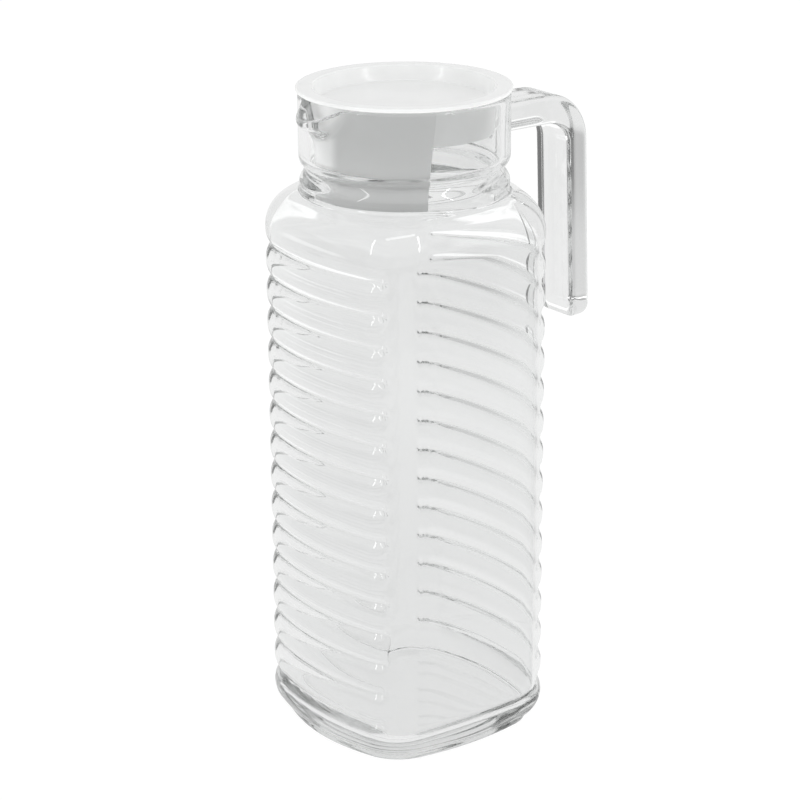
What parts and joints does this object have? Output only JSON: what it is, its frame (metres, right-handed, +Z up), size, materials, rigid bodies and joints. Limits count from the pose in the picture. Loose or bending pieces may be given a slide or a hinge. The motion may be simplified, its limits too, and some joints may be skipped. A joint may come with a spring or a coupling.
{
  "type": "lidded glass jug",
  "caption": "Tall square glass jug with ribbed sides, a round neck with a pouring lip, a hook handle and a lift-off plastic lid.",
  "frame": {"origin": "centre of the flat underside of the foot, on the axis of the neck", "axes": "+Z up the axis of the jug to the lid, +X to the handle, -X to the pouring lip"},
  "size_m": [0.1297, 0.0882, 0.25],
  "materials": {
    "clear_glass": "clear, fire polished",
    "white_plastic": "moulded, semi-gloss"
  },
  "bodies": {
    "jug": {"glass_body": "clear_glass", "glass_handle": "clear_glass"},
    "lid": {"lid": "white_plastic"}
  },
  "joints": [
    {"name": "lid_lift", "type": "slide", "parent": "jug", "child": "lid", "axis": [0, 0, 1], "range_m": [0, 0.06]}
  ]
}
